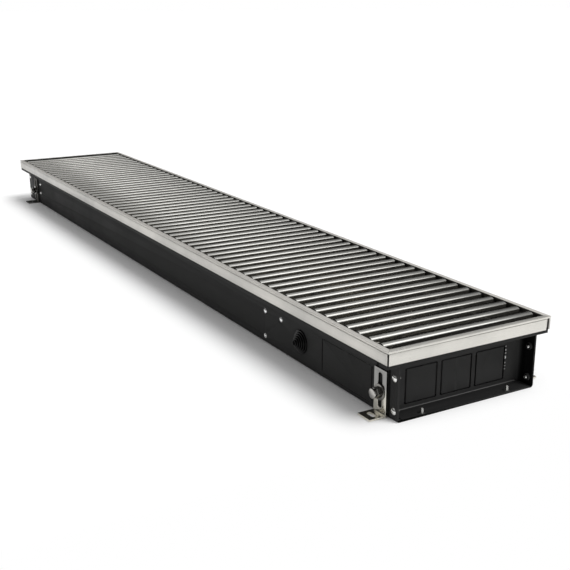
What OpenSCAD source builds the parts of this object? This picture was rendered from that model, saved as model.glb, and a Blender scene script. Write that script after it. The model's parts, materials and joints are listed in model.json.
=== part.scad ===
// Trench convector heater: black folded trench, light metal frame, roll grille and heat exchanger.
// Origin at the bottom centre; X runs along the trench, Y across it, Z up.

/* [Trench] */
// length of the trench walls
tray_length = 1610; // [1610:2:1750]
// width over the trench walls
tray_width = 230; // [226:1:234]
// height of the ledge on which the frame lies
tray_height = 80; // [78:1:100]
// thickness of the folded sheet
sheet_t = 1.2; // [1:0.1:1.5]
// reach of the ledge past a trench wall
ledge_reach = 19; // [18:0.5:21]
// reach of the ledge past the end of a trench wall
ledge_end_reach = 1; // [0.5:0.25:2]
// height of the folded lip under the ledge
ledge_lip_h = 4.5; // [3:0.25:7]
// distance of an end plate from the end of the trench
end_recess = 26; // [22:1:30]
// outer radius of the end plate folds
end_fold_r = 8; // [5:0.5:10]
// outer radius of the bend between an end plate and its bottom flange
end_bend_r = 3; // [2:0.25:4]
// play between sheets that lie side by side
sheet_play = 0.2; // [0.1:0.05:0.3]

/* [Knock-outs] */
// width of a knock-out in the end plates
knock_w = 50; // [40:1:52]
// height of a knock-out
knock_h = 48; // [40:1:52]
// distance between the centres of the end knock-outs
knock_pitch = 58.4; // [56:0.2:60]
// lower edge of the knock-outs above the floor
knock_z = 9.5; // [9:0.25:12]
// length of the knock-out in the long wall
side_knock_w = 118; // [90:1:122]
// distance of that knock-out from the near trench end
side_knock_end = 56; // [54:1:62]
// width of the upright cuts round a knock-out
cut_w = 1.6; // [1:0.1:2]
// width of the level cuts round a knock-out
cut_thin = 0.8; // [0.5:0.1:1.2]
// length of the bridges that hold a knock-out
bridge = 3; // [2:0.25:5]

/* [Frame] */
// overhang of the frame past the ends of the ledge
frame_end_over = 3; // [2:0.5:4]
// overhang of the frame past the long sides of the ledge
frame_side_over = 1; // [0.5:0.25:2]
// height of the frame rails
rail_h = 18.8; // [17:0.2:22]
// width of a frame rail
rail_w = 7.5; // [7:0.25:8]
// thickness of a rail wall
rail_wall = 1.8; // [1.5:0.1:2]
// thickness of the rail top
rail_top = 2; // [1.5:0.1:2.5]
// depth of the groove in a rail face
rail_lip = 0.8; // [0.4:0.1:1]
// height of the band along the top edge of a rail
lip_h = 2.75; // [2.5:0.25:4]
// height of the groove under that band
groove_h = 0.8; // [0.5:0.1:1.2]
// gap between the rail walls and the mitre plane
corner_gap = 1.5; // [1:0.25:2.5]
// height of the inner rail wall
rail_inner_h = 14; // [12:0.5:14.5]
// thickness of the seal under the rails
seal_t = 1.2; // [0.8:0.1:1.5]
// leg length of a corner key
key_leg = 38; // [25:1:60]
// height of a corner key
key_h = 6; // [4:0.5:8]
// play of a key inside the rail
key_play = 0.1; // [0.05:0.05:0.2]

/* [Grille] */
// distance from bar to bar
bar_pitch = 26; // [24:0.25:28]
// least gap between the grille and the rail at either end
end_bar_gap = 8; // [6:0.5:10]
// width of a bar cap
bar_w = 12; // [11:0.25:15]
// height of a bar
bar_h = 18; // [16:0.25:19]
// rise of the rounded cap
cap_rise = 2.2; // [1.5:0.1:3]
// thickness of the cap edge
cap_edge = 5; // [4:0.25:6]
// thickness of the bar web
web_t = 3; // [2.5:0.1:4]
// width of the bar foot
bar_foot_w = 9; // [8:0.25:10]
// thickness of the bar foot
bar_foot_t = 1.6; // [1.2:0.1:2]
// play between the bar ends and the frame
bar_play = 3.2; // [1:0.1:4]
// place of the grille towards the near end
grille_shift = 0; // [-1:0.5:3]
// diameter of a grille rod
rod_d = 4; // [3:0.25:4.5]
// distance of a grille rod from the middle
rod_place = 72; // [60:1:90]
// outer diameter of a spacer sleeve
sleeve_d = 7; // [6:0.25:7]
// play round a grille rod
rod_play = 0.15; // [0.1:0.05:0.2]
// play at the ends of a spacer sleeve
sleeve_play = 0.2; // [0.1:0.05:0.3]
// width of the strip under the grille
strip_w = 8; // [6:0.5:9]
// air gap between the strip and the resting grille
rest_gap = 0.3; // [0.2:0.05:0.4]

/* [Foot brackets] */
// width of a bracket
bracket_w = 26.5; // [26:0.5:32]
// height of a bracket
bracket_h = 62.5; // [58:0.5:64]
// thickness of a bracket
bracket_t = 2.5; // [2:0.25:3]
// reach of the foot
foot_reach = 27; // [24:1:32]
// distance of the near brackets from the trench end
near_bracket_end = 34; // [32:1:38]
// distance of the far brackets from the trench end
far_bracket_end = 63; // [56:1:70]
// height of the clamp bolts
clamp_z = 31; // [29:0.5:33]
// width of the bracket slot
slot_w = 8.6; // [8.4:0.1:9.5]
// lower end of the bracket slot
slot_z0 = 9.5; // [8:0.25:11]
// upper end of the bracket slot
slot_z1 = 57; // [54:0.25:58]
// length of the slot in the foot
foot_slot_l = 15; // [12:0.5:16]
// width of the slot in the foot
foot_slot_w = 7; // [6:0.25:8]
// play between a bracket and what it slides on
slide_gap = 0.3; // [0.25:0.05:0.4]

/* [Clamp bolts] */
// diameter of a clamp bolt
clamp_d = 8; // [8:0.1:8.2]
// diameter of the round bolt head
clamp_head_d = 13.5; // [12:0.25:15]
// thickness of the round bolt head
clamp_head_t = 2.6; // [2:0.1:4]
// distance of the bolt head face from the wall
clamp_reach = 15.5; // [15:0.5:22]
// width across the flats of the clamp nut
nut_af = 13; // [13:0.1:14]
// thickness of the clamp nut
nut_t = 6.4; // [5:0.1:6.8]
// outer diameter of the washer
washer_d = 22; // [16:0.25:24]
// thickness of the washer
washer_t = 1.6; // [1.2:0.1:2]
// play of threads and washers round their bolt
thread_play = 0.06; // [0.02:0.01:0.1]

/* [Levelling screws] */
// diameter of a levelling screw
level_d = 5; // [4:0.25:6]
// distance of the levelling screws from the trench end
level_end = 5; // [4.5:0.5:9]
// distance of the levelling screws from the middle
level_y = 72; // [60:1:80]
// height of the screw tip above the ground
level_tip = 0.4; // [0.3:0.1:0.6]
// length of a levelling screw
level_l = 10; // [9:0.5:14]
// height of the threaded bush above the sheets
bush_h = 0.6; // [0.5:0.1:2]
// outer diameter of the threaded bush
bush_d = 8; // [7:0.25:9]

/* [End plate screws] */
// distance of the side screws from the trench end
end_screw_end = 8.5; // [8:0.5:12]
// height of the lower side screws
end_screw_low = 13; // [12:0.5:16]
// height of the upper side screws
end_screw_high = 57.5; // [50:0.5:62]
// diameter of a side screw
end_screw_d = 5; // [4:0.25:5]
// diameter of a screw head
end_head_d = 10; // [8:0.25:11]
// thickness of a screw head
end_head_t = 2.2; // [1.6:0.1:3]
// length of a side screw behind the head
end_screw_l = 8.5; // [8:0.5:12]
// diameter of the pressed nut
end_nut_d = 10; // [8:0.25:11]
// thickness of the pressed nut
end_nut_t = 4; // [3:0.25:5]

/* [Rivets and cable inlet] */
// diameter of a rivet
rivet_d = 4; // [3:0.25:4.5]
// diameter of a rivet head
rivet_head_d = 8; // [6:0.25:9]
// thickness of a rivet head
rivet_head_t = 1.5; // [1:0.1:2]
// height of the upper rivets
rivet_high = 51; // [46:0.5:54]
// height of the lower near rivets
rivet_low = 11; // [10:0.5:14]
// height of the lower far rivets
rivet_far_low = 29; // [24:0.5:32]
// distance of the cable inlet from the near trench end
grommet_end = 231.5; // [225:0.5:240]
// height of the cable inlet
grommet_z = 34.5; // [30:0.5:38]
// diameter of the grommet rim
grommet_d = 35.5; // [34:0.5:40]
// diameter of the wall hole for the grommet
grommet_hole_d = 30; // [26:0.5:31]
// reach of the grommet in front of the wall
grommet_reach = 12; // [10:0.5:20]
// number of steps of the grommet cone
grommet_steps = 5; // [3:1:6]
// diameter of the grommet tip
grommet_tip_d = 10; // [9:0.5:12]
// bore of the grommet tip
grommet_bore_d = 6; // [5:0.25:7]
// thickness of the grommet rim
grommet_rim_t = 2; // [1.6:0.1:3]
// distance of the earth stud from the near trench end
earth_end = 289; // [280:1:300]

/* [Heat exchanger] */
// distance of the near cradle from the near trench end
cradle_near_end = 337; // [335:1:345]
// distance of the far cradle from the far trench end
cradle_far_end = 96; // [90:1:105]
// thickness of a cradle
cradle_t = 1.5; // [1.2:0.1:2]
// height of a cradle
cradle_h = 62; // [60:1:66]
// length of the cradle flanges
cradle_flange = 14; // [12:0.5:16]
// outer diameter of the copper tube
tube_d = 15; // [14:0.25:15]
// wall of the copper tube
tube_wall = 1; // [0.8:0.1:1.2]
// height of the tubes
tube_z = 34; // [33:0.5:36]
// distance of the tube ends past the near cradle
tube_near = 39; // [38:0.5:42]
// distance of the bend past the far cradle
tube_far = 12; // [8:0.5:14]
// width of a fin
fin_w = 112; // [100:1:120]
// height of a fin
fin_h = 52; // [48:1:56]
// thickness of a fin
fin_t = 0.5; // [0.4:0.05:0.6]
// distance from fin to fin
fin_pitch = 9; // [8:0.25:14]
// distance of the outer fins from the cradles
fin_end = 10; // [8:0.5:14]
// play of tubes in fins, cradles and nuts
tube_play = 0.06; // [0.04:0.01:0.1]

/* [Valves] */
// outer diameter of a valve body
valve_d = 25; // [24:0.25:26]
// length of a valve body
valve_l = 68; // [60:1:74]
// water way of a valve body
valve_bore_d = 12; // [11:0.25:13]
// bore of the pipe port
port_d = 18.6; // [18:0.1:19]
// depth of the pipe port
port_depth = 14; // [12:0.5:16]
// depth to which a tube enters its valve
tube_seat = 8; // [6:0.5:10]
// diameter of the valve neck
neck_d = 20; // [18:0.25:21]
// height of the neck top above the tubes
neck_h = 25; // [24:0.5:26]
// diameter of a valve spindle
spindle_d = 6; // [5:0.25:7]
// depth of the spindle in the neck
spindle_depth = 10; // [8:0.5:11]
// outer diameter of the hand cap
hand_cap_d = 27; // [26:0.25:30]
// height of the hand cap
hand_cap_h = 15; // [14:0.5:16]
// number of grips round the hand cap
grip_count = 12; // [8:1:16]
// diameter of a grip
grip_d = 2.4; // [2:0.1:3]
// width across the flats of a union nut
union_af = 27; // [26:0.5:28]
// length of a union nut
union_l = 11; // [10:0.5:12]
// diameter of the lockshield screw head
lock_head_d = 10; // [9:0.25:12]
// thickness of the lockshield screw head
lock_head_t = 4; // [3:0.25:5]
// play of a turning spindle
spin_play = 0.05; // [0.03:0.01:0.08]
// diameter of the vent saddle
vent_d = 21; // [20:0.25:22]
// length of the vent saddle
vent_l = 10; // [8:0.5:11]
// diameter of the vent tower
vent_tower_d = 9; // [8:0.25:10]
// height of the vent tower top above the tube
vent_h = 20; // [18:0.5:22]
// diameter of the vent screw
vent_screw_d = 4; // [3.5:0.25:4.5]

/* [Hidden] */
$fn = 40;
over = 1;
slot_sink = 1.2;
blade_w = 1.2;
grommet_grip = 1.6;
grommet_play = 0.05;
dome_share = 0.6;
flat_share = 0.72;
tray_x = tray_length / 2;
tray_y = tray_width / 2;
inner_y = tray_y - sheet_t;
ledge_y = tray_y + ledge_reach;
ledge_x = tray_x + ledge_end_reach;
frame_x = ledge_x + frame_end_over;
frame_y = ledge_y + frame_side_over;
rail_z = tray_height + seal_t;
top_z = rail_z + rail_h;
end_face = tray_x - end_recess;
fold_in = end_fold_r - sheet_t;
bend_in = end_bend_r - sheet_t;
bar_len = 2 * (frame_y - rail_w - bar_play);
bar_room = 2 * (frame_x - rail_w - end_bar_gap) - bar_w;
bar_count = floor(bar_room / bar_pitch) + 1;
bar_z = top_z - bar_h;
strip_t = bar_z - rest_gap - tray_height;
bar_x0 = grille_shift - (bar_count - 1) / 2 * bar_pitch;
rod_z = (bar_z + bar_foot_t + top_z - cap_rise - cap_edge) / 2;
rod_len = (bar_count - 1) * bar_pitch + bar_w;
near_bracket_x = tray_x - near_bracket_end;
far_bracket_x = far_bracket_end - tray_x;
level_x = tray_x - level_end;
end_screw_x = tray_x - end_screw_end;
side_knock_x = tray_x - side_knock_end - side_knock_w / 2;
knock_mid_z = knock_z + knock_h / 2;
cradle_near_x = tray_x - cradle_near_end;
cradle_far_x = cradle_far_end - tray_x;
grommet_x = tray_x - grommet_end;
earth_x = tray_x - earth_end;
tube_y0 = 0;
tube_y1 = knock_pitch;
tube_mid = (tube_y0 + tube_y1) / 2;
tube_end = cradle_near_x + tube_near;
bend_x = cradle_far_x - tube_far;
fin_x0 = cradle_far_x + fin_end;
fin_n = floor((cradle_near_x - fin_end - fin_x0) / fin_pitch);
valve_x0 = tube_end - tube_seat;
valve_mid = valve_x0 + valve_l / 2;
neck_z = tube_z + neck_h;
vent_at = (cradle_near_x + cradle_flange / 2 + valve_x0 - union_l) / 2;
vent_z = tube_z + vent_h;
nut_out = tray_y + 2 * slide_gap + bracket_t + washer_t;

// box between two corners
module box(x0, x1, y0, y1, z0, z1) {
    translate([x0, y0, z0]) cube([x1 - x0, y1 - y0, z1 - z0]);
}

// round bar along X
module rod_x(x0, x1, y, z, d) {
    translate([x0, y, z]) rotate([0, 90, 0]) cylinder(d = d, h = x1 - x0);
}

// round bar along Y
module rod_y(y0, y1, x, z, d) {
    translate([x, y1, z]) rotate([90, 0, 0]) cylinder(d = d, h = y1 - y0);
}

// round bar along Z
module rod_z(z0, z1, x, y, d) {
    translate([x, y, z0]) cylinder(d = d, h = z1 - z0);
}

// hexagon nut with its bore along Z
module hex_nut(af, t, bore) {
    difference() {
        cylinder(r = af / sqrt(3), h = t, $fn = 6);
        translate([0, 0, -over]) cylinder(d = bore, h = t + 2 * over);
    }
}

// both long sides: 1 is the back side, -1 the front side
module both_sides() {
    for (s = [-1, 1]) scale_y(s) children();
}

module scale_y(s) {
    if (s > 0) children();
    else mirror([0, 1, 0]) children();
}

module scale_x(s) {
    if (s > 0) children();
    else mirror([1, 0, 0]) children();
}

// cuts round a knock-out lying in the YZ plane, centred on the origin
module knock_cuts_x(w, h, depth) {
    for (s = [-1, 1]) {
        box(-depth, depth, s * w / 2 - cut_w / 2, s * w / 2 + cut_w / 2, bridge - h / 2, h / 2 - bridge);
        for (e = [-1, 1])
            box(-depth, depth, e * (w / 4) - w / 4 + bridge, e * (w / 4) + w / 4 - bridge,
                s * h / 2 - cut_thin / 2, s * h / 2 + cut_thin / 2);
    }
}

// wall, ledge and lip of the back long side
module tray_side() {
    box(-tray_x, tray_x, inner_y, tray_y, 0, tray_height);
    box(-ledge_x, ledge_x, inner_y, ledge_y, tray_height - sheet_t, tray_height);
    box(-ledge_x, ledge_x, ledge_y - sheet_t, ledge_y, tray_height - ledge_lip_h, tray_height);
    for (s = [-1, 1]) scale_x(s)
        box(ledge_x - sheet_t, ledge_x, inner_y, ledge_y, tray_height - ledge_lip_h, tray_height);
}

// holes of one wall
module wall_holes() {
    y0 = inner_y - over;
    y1 = tray_y + over;
    for (x = [near_bracket_x, far_bracket_x]) rod_y(y0, y1, x, clamp_z, clamp_d + 2 * thread_play);
    for (s = [-1, 1], z = [end_screw_low, end_screw_high])
        rod_y(y0, y1, s * end_screw_x, z, end_screw_d + 2 * thread_play);
    for (p = rivet_places()) rod_y(y0, y1, p[0], p[1], rivet_d + 2 * thread_play);
}

// places of the cradle rivets, along X and Z
function rivet_places() = [[cradle_near_x, rivet_high], [cradle_near_x, rivet_low],
    [cradle_far_x, rivet_high], [cradle_far_x, rivet_far_low]];

module trench_tray() {
    color([0.17, 0.17, 0.17]) difference() {
        union() {
            box(-tray_x, tray_x, -tray_y, tray_y, 0, sheet_t);
            both_sides() tray_side();
        }
        both_sides() wall_holes();
        for (s = [-1, 1], t = [-1, 1])
            rod_z(-over, sheet_t + over, s * level_x, t * level_y, bush_d + 2 * thread_play);
        rod_y(-tray_y - over, over - inner_y, grommet_x, grommet_z, grommet_hole_d);
        rod_y(-tray_y - over, over - inner_y, earth_x, rivet_high, rivet_d + 2 * thread_play);
        translate([side_knock_x, -tray_y, knock_mid_z - bridge / 2]) rotate([0, 0, 90])
            knock_cuts_x(side_knock_w, knock_h + bridge, sheet_t + over);
    }
}

// quarter bend along Y between an upright face at x and the flange below it
module bend_y(half, x, z) {
    difference() {
        intersection() {
            rod_y(-half, half, x + bend_in, z + end_bend_r, 2 * end_bend_r);
            box(x - sheet_t, x + bend_in, -half, half, z, z + end_bend_r);
        }
        rod_y(-half - over, half + over, x + bend_in, z + end_bend_r, 2 * bend_in);
    }
}

// end plate of the near end: face, folded side, bottom and top flanges
module end_plate() {
    side = inner_y - sheet_play;
    z0 = sheet_t;
    z1 = tray_height;
    difference() {
        union() {
            box(end_face - sheet_t, end_face, end_fold_r - side, side - end_fold_r, z0 + end_bend_r, z1);
            bend_y(side - end_fold_r, end_face, z0);
            both_sides() {
                box(end_face + fold_in, tray_x, side - sheet_t, side, z0, z1 - ledge_lip_h);
                translate([end_face + fold_in, side - end_fold_r, z0])
                    rotate([0, 0, 90]) fold(z1 - ledge_lip_h - z0);
            }
            box(end_face + bend_in, tray_x, end_fold_r - side, side - end_fold_r, z0, z0 + sheet_t);
            box(end_face - sheet_t, ledge_x, end_fold_r - side, side - end_fold_r, z1 - sheet_t, z1);
            box(ledge_x - sheet_t, ledge_x, -side, side, z1 - ledge_lip_h, z1);
            box(tray_x, ledge_x, -side, side, z1 - sheet_t, z1);
        }
        for (i = [-1, 0, 1]) translate([end_face - sheet_t, i * knock_pitch, knock_mid_z])
            knock_cuts_x(knock_w, knock_h, sheet_t + over);
        both_sides() for (z = [end_screw_low, end_screw_high])
            rod_y(side - sheet_t - over, side + over, end_screw_x, z, end_screw_d + 2 * thread_play);
        for (t = [-1, 1]) rod_z(0, z0 + sheet_t + over, level_x, t * level_y, bush_d + 2 * thread_play);
    }
}

// quarter fold between a face and its side flange
module fold(h) {
    rotate_extrude(angle = 90) translate([fold_in, 0]) square([sheet_t, h]);
}

module end_plate_near() {
    color([0.17, 0.17, 0.17]) end_plate();
}

module end_plate_far() {
    color([0.17, 0.17, 0.17]) scale_x(-1) end_plate();
}

// the space past the mitre plane at the +X end of a rail
module mitre(half, across) {
    translate([half, across, rail_z - over]) rotate([0, 0, -45])
        box(0, 2 * rail_w, -2 * rail_w, 2 * rail_w, 0, rail_h + 2 * over);
}

// rail along X at the back side: closed mitres at the top, walls with one open mitre and one square end
module rail(half, across, reach) {
    inner_z = top_z - rail_top - rail_inner_h;
    difference() {
        union() {
            box(-half, half, across - rail_w, across, top_z - rail_top, top_z);
            box(-half, half, across - rail_lip, across, top_z - lip_h, top_z - rail_top);
        }
        for (s = [-1, 1]) scale_x(s) mitre(half, across);
    }
    difference() {
        union() {
            box(-half, reach, across - rail_lip - rail_wall, across - rail_lip, rail_z, top_z - rail_top);
            box(-half, reach, across - rail_lip, across, rail_z, top_z - lip_h - groove_h);
            box(-half, reach, across - rail_w, across - rail_w + rail_wall, inner_z, top_z - rail_top);
        }
        scale_x(-1) mitre(half - corner_gap, across);
        box(half - rail_w + rail_wall, half - rail_lip - rail_wall, across - rail_w - over,
            across - rail_w + rail_wall + over, top_z - rail_top - key_h - key_play, top_z);
    }
}

module long_rail() {
    rail(frame_x, frame_y, frame_x - rail_lip);
}

module short_rail() {
    rotate([0, 0, -90]) scale_x(-1) rail(frame_y, frame_x, frame_y - rail_w - sheet_play);
}

module frame_rail_back() {
    color([0.8, 0.8, 0.78]) long_rail();
}

module frame_rail_front() {
    color([0.8, 0.8, 0.78]) rotate([0, 0, 180]) long_rail();
}

module frame_rail_near() {
    color([0.8, 0.8, 0.78]) short_rail();
}

module frame_rail_far() {
    color([0.8, 0.8, 0.78]) rotate([0, 0, 180]) short_rail();
}

// key in the corner between the back and the near rail
module corner_key() {
    z1 = top_z - rail_top;
    z0 = z1 - key_h;
    x1 = frame_x - rail_lip - rail_wall - key_play;
    x0 = frame_x - rail_w + rail_wall + key_play;
    y1 = frame_y - rail_lip - rail_wall - key_play;
    y0 = frame_y - rail_w + rail_wall + key_play;
    box(x1 - key_leg, x1, y0, y1, z0, z1);
    box(x0, x1, y1 - key_leg, y1, z0, z1);
}

module frame_corner_keys() {
    color([0.45, 0.45, 0.45]) for (s = [-1, 1]) scale_x(s) both_sides() corner_key();
}

module frame_seals() {
    seal_w = rail_lip + 2 * rail_wall;
    color([0.12, 0.12, 0.12]) {
        both_sides() box(-ledge_x, ledge_x, ledge_y - seal_w, ledge_y, tray_height, rail_z);
        for (s = [-1, 1]) scale_x(s)
            box(ledge_x - seal_w, ledge_x, seal_w - ledge_y, ledge_y - seal_w, tray_height, rail_z);
    }
}

module grille_support_strips() {
    y0 = tray_y + sheet_t;
    strip_x = frame_x - rail_w - bar_play;
    color([0.1, 0.1, 0.1]) both_sides()
        box(-strip_x, strip_x, y0, y0 + strip_w, tray_height, tray_height + strip_t);
}

// screw through the back wall: head outside, tip inside
module side_screw(x, z, d, head_d, head_t, length) {
    rod_y(tray_y - length, tray_y, x, z, d);
    translate([x, tray_y, z]) rotate([-90, 0, 0])
        cylinder(d1 = head_d, d2 = head_d * dome_share, h = head_t);
}

module end_plate_screws() {
    color([0.75, 0.75, 0.75]) both_sides() for (s = [-1, 1], z = [end_screw_low, end_screw_high])
        side_screw(s * end_screw_x, z, end_screw_d, end_head_d, end_head_t, end_screw_l);
}

module end_plate_nuts() {
    y1 = inner_y - sheet_play - sheet_t;
    color([0.12, 0.12, 0.12]) both_sides() for (s = [-1, 1], z = [end_screw_low, end_screw_high])
        difference() {
            rod_y(y1 - end_nut_t, y1, s * end_screw_x, z, end_nut_d);
            rod_y(y1 - end_nut_t - over, y1 + over, s * end_screw_x, z, end_screw_d + 2 * thread_play);
        }
}

module wall_rivets() {
    y1 = inner_y - sheet_play - cradle_t;
    color([0.8, 0.8, 0.8]) both_sides() for (p = rivet_places()) {
        side_screw(p[0], p[1], rivet_d, rivet_head_d, rivet_head_t, tray_y - y1);
        rod_y(y1 - rivet_head_t, y1, p[0], p[1], rivet_head_d * flat_share);
    }
}

// ring round the cable axis, measured outwards from the front wall
module grommet_ring(from, to, d) {
    translate([grommet_x, -tray_y - from, grommet_z]) rotate([90, 0, 0]) cylinder(d = d, h = to - from);
}

module cable_grommet() {
    step_h = (grommet_reach - grommet_rim_t) / grommet_steps;
    neck = grommet_hole_d - 2 * grommet_play;
    cone_d = neck - grommet_tip_d;
    color([0.08, 0.08, 0.08]) difference() {
        union() {
            grommet_ring(0, grommet_rim_t, grommet_d);
            grommet_ring(-sheet_t, 0, neck);
            grommet_ring(-sheet_t - grommet_grip, -sheet_t, neck + 2 * grommet_grip);
            for (i = [0 : grommet_steps - 1])
                grommet_ring(grommet_rim_t + i * step_h, grommet_rim_t + (i + 1) * step_h,
                    neck - i * cone_d / (grommet_steps - 1));
        }
        grommet_ring(-sheet_t - grommet_grip - over, grommet_reach + over, grommet_bore_d);
    }
}

module earth_stud() {
    color([0.75, 0.65, 0.35]) scale_y(-1)
        side_screw(earth_x, rivet_high, rivet_d, rivet_head_d, rivet_head_t, end_screw_l + nut_t);
}

module earth_nuts() {
    color([0.75, 0.65, 0.35]) {
        translate([earth_x, -inner_y, rivet_high]) rotate([-90, 0, 0]) difference() {
            cylinder(d = end_nut_d, h = washer_t);
            translate([0, 0, -over]) cylinder(d = rivet_d + 2 * thread_play, h = washer_t + 2 * over);
        }
        translate([earth_x, washer_t - inner_y, rivet_high]) rotate([-90, 0, 0])
            hex_nut(rivet_head_d, end_nut_t, rivet_d + 2 * thread_play);
    }
}

// cradle across the trench, flanges towards the fins, web on the +X side of the rivets
module cradle(x, low) {
    side = inner_y - sheet_play;
    x0 = x - cradle_flange / 2;
    x1 = x + cradle_flange / 2;
    difference() {
        union() {
            box(x1 - cradle_t, x1, -side, side, sheet_t, cradle_h);
            both_sides() box(x0, x1, side - cradle_t, side, sheet_t, cradle_h);
        }
        for (y = [tube_y0, tube_y1]) rod_x(x0, x1 + over, y, tube_z, tube_d + 2 * tube_play);
        both_sides() for (z = [low, rivet_high])
            rod_y(side - cradle_t - over, side + over, x, z, rivet_d + 2 * thread_play);
    }
}

module cradle_near() {
    color([0.6, 0.6, 0.6]) cradle(cradle_near_x, rivet_low);
}

module cradle_far() {
    color([0.6, 0.6, 0.6]) scale_x(-1) cradle(-cradle_far_x, rivet_far_low);
}

module fin_pack() {
    color([0.75, 0.76, 0.78]) for (i = [0 : fin_n]) difference() {
        box(fin_x0 + i * fin_pitch, fin_x0 + i * fin_pitch + fin_t, tube_mid - fin_w / 2,
            tube_mid + fin_w / 2, tube_z - fin_h / 2, tube_z + fin_h / 2);
        for (y = [tube_y0, tube_y1])
            rod_x(fin_x0 + i * fin_pitch - over, fin_x0 + i * fin_pitch + fin_t + over, y, tube_z,
                tube_d + 2 * tube_play);
    }
}

// tube loop: two straight runs and the bend at the far end
module tube_loop(d, more) {
    for (y = [tube_y0, tube_y1]) rod_x(bend_x, tube_end + more, y, tube_z, d);
    translate([bend_x, tube_mid, tube_z]) rotate([0, 0, 90])
        rotate_extrude(angle = 180) translate([(tube_y1 - tube_y0) / 2, 0]) circle(d = d);
}

module copper_circuit() {
    color([0.72, 0.45, 0.3]) difference() {
        tube_loop(tube_d, 0);
        tube_loop(tube_d - 2 * tube_wall, over);
    }
}

module union_nuts() {
    color([0.78, 0.68, 0.4]) for (y = [tube_y0, tube_y1]) translate([valve_x0 - union_l, y, tube_z])
        rotate([0, 90, 0]) hex_nut(union_af, union_l, tube_d + 2 * tube_play);
}

// straight valve on the tube at y: tube seat, water way, pipe port, neck with the spindle bore
module valve_body(y) {
    x1 = valve_x0 + valve_l;
    difference() {
        union() {
            rod_x(valve_x0, x1, y, tube_z, valve_d);
            rod_z(tube_z, neck_z, valve_mid, y, neck_d);
        }
        rod_x(valve_x0 - over, x1 + over, y, tube_z, valve_bore_d);
        rod_x(valve_x0 - over, tube_end, y, tube_z, tube_d + 2 * tube_play);
        rod_x(x1 - port_depth, x1 + over, y, tube_z, port_d);
        rod_z(neck_z - spindle_depth, neck_z + over, valve_mid, y, spindle_d + 2 * spin_play);
    }
}

module flow_valve_body() {
    color([0.78, 0.68, 0.4]) valve_body(tube_y0);
}

module return_valve_body() {
    color([0.78, 0.68, 0.4]) valve_body(tube_y1);
}

module flow_hand_cap() {
    z0 = neck_z - spindle_depth + slide_gap;
    z1 = z0 + hand_cap_h;
    color([0.9, 0.9, 0.88]) {
        difference() {
            union() {
                rod_z(z0, z1, valve_mid, tube_y0, hand_cap_d);
                for (i = [0 : grip_count - 1]) translate([valve_mid, tube_y0, z0])
                    rotate([0, 0, i * 360 / grip_count]) translate([hand_cap_d / 2, 0, 0])
                        cylinder(d = grip_d, h = hand_cap_h, $fn = 12);
            }
            rod_z(z0 - over, neck_z + slide_gap, valve_mid, tube_y0, neck_d + 2 * slide_gap);
        }
        rod_z(z0, neck_z + 2 * slide_gap, valve_mid, tube_y0, spindle_d);
    }
}

// slotted screw head with its shank going down into the bore
module slotted_screw(x, y, z, d, head_d, head_t, depth) {
    difference() {
        union() {
            rod_z(z - depth, z + slide_gap + over, x, y, d);
            rod_z(z + slide_gap, z + slide_gap + head_t, x, y, head_d);
        }
        box(x - head_d, x + head_d, y - blade_w / 2, y + blade_w / 2,
            z + slide_gap + head_t - slot_sink, z + slide_gap + head_t + over);
    }
}

module return_spindle() {
    color([0.75, 0.7, 0.5]) slotted_screw(valve_mid, tube_y1, neck_z, spindle_d, lock_head_d,
        lock_head_t, spindle_depth - slide_gap);
}

module air_vent_body() {
    color([0.78, 0.68, 0.4]) difference() {
        union() {
            rod_x(vent_at - vent_l / 2, vent_at + vent_l / 2, tube_y1, tube_z, vent_d);
            rod_z(tube_z, vent_z, vent_at, tube_y1, vent_tower_d);
        }
        rod_x(vent_at - vent_l, vent_at + vent_l, tube_y1, tube_z, tube_d + 2 * tube_play);
        rod_z(tube_z + vent_d / 2, vent_z + over, vent_at, tube_y1, vent_screw_d + 2 * spin_play);
    }
}

module air_vent_screw() {
    color([0.75, 0.7, 0.5]) slotted_screw(vent_at, tube_y1, vent_z, vent_screw_d,
        vent_tower_d - 2 * slide_gap, lock_head_t, vent_z - tube_z - vent_d / 2 - slide_gap);
}

// places of the clamp bolts along X
function clamp_places() = [near_bracket_x, far_bracket_x];

module clamp_bolts() {
    y1 = tray_y + clamp_reach;
    color([0.5, 0.5, 0.5]) both_sides() for (x = clamp_places()) {
        rod_y(inner_y - nut_t - over, y1 - clamp_head_t, x, clamp_z, clamp_d);
        rod_y(y1 - clamp_head_t, y1, x, clamp_z, clamp_head_d);
    }
}

module clamp_washers() {
    color([0.75, 0.75, 0.75]) both_sides() for (x = clamp_places()) difference() {
        rod_y(nut_out - washer_t, nut_out, x, clamp_z, washer_d);
        rod_y(nut_out - 2 * washer_t, nut_out + washer_t, x, clamp_z, clamp_d + 2 * thread_play);
    }
}

module clamp_nuts() {
    color([0.75, 0.75, 0.75]) both_sides() for (x = clamp_places())
        translate([x, nut_out + nut_t, clamp_z]) rotate([90, 0, 0])
            hex_nut(nut_af, nut_t, clamp_d + 2 * thread_play);
}

module clamp_inner_nuts() {
    color([0.6, 0.6, 0.6]) both_sides() for (x = clamp_places())
        translate([x, inner_y, clamp_z]) rotate([90, 0, 0])
            hex_nut(nut_af, nut_t, clamp_d + 2 * thread_play);
}

// places of the levelling screws: along X and Y
module level_places() {
    for (s = [-1, 1], t = [-1, 1]) translate([s * level_x, t * level_y, 0]) children();
}

module levelling_bushes() {
    h = 2 * sheet_t + bush_h;
    color([0.12, 0.12, 0.12]) level_places() difference() {
        cylinder(d = bush_d, h = h);
        translate([0, 0, -over]) cylinder(d = level_d + 2 * thread_play, h = h + 2 * over);
    }
}

module levelling_screw(s, t) {
    slot_z = level_tip + level_l;
    color([0.8, 0.8, 0.8]) translate([s * level_x, t * level_y, 0]) difference() {
        translate([0, 0, level_tip]) cylinder(d = level_d, h = level_l);
        box(-level_d, level_d, -blade_w / 2, blade_w / 2, slot_z - slot_sink, slot_z + over);
    }
}

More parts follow.
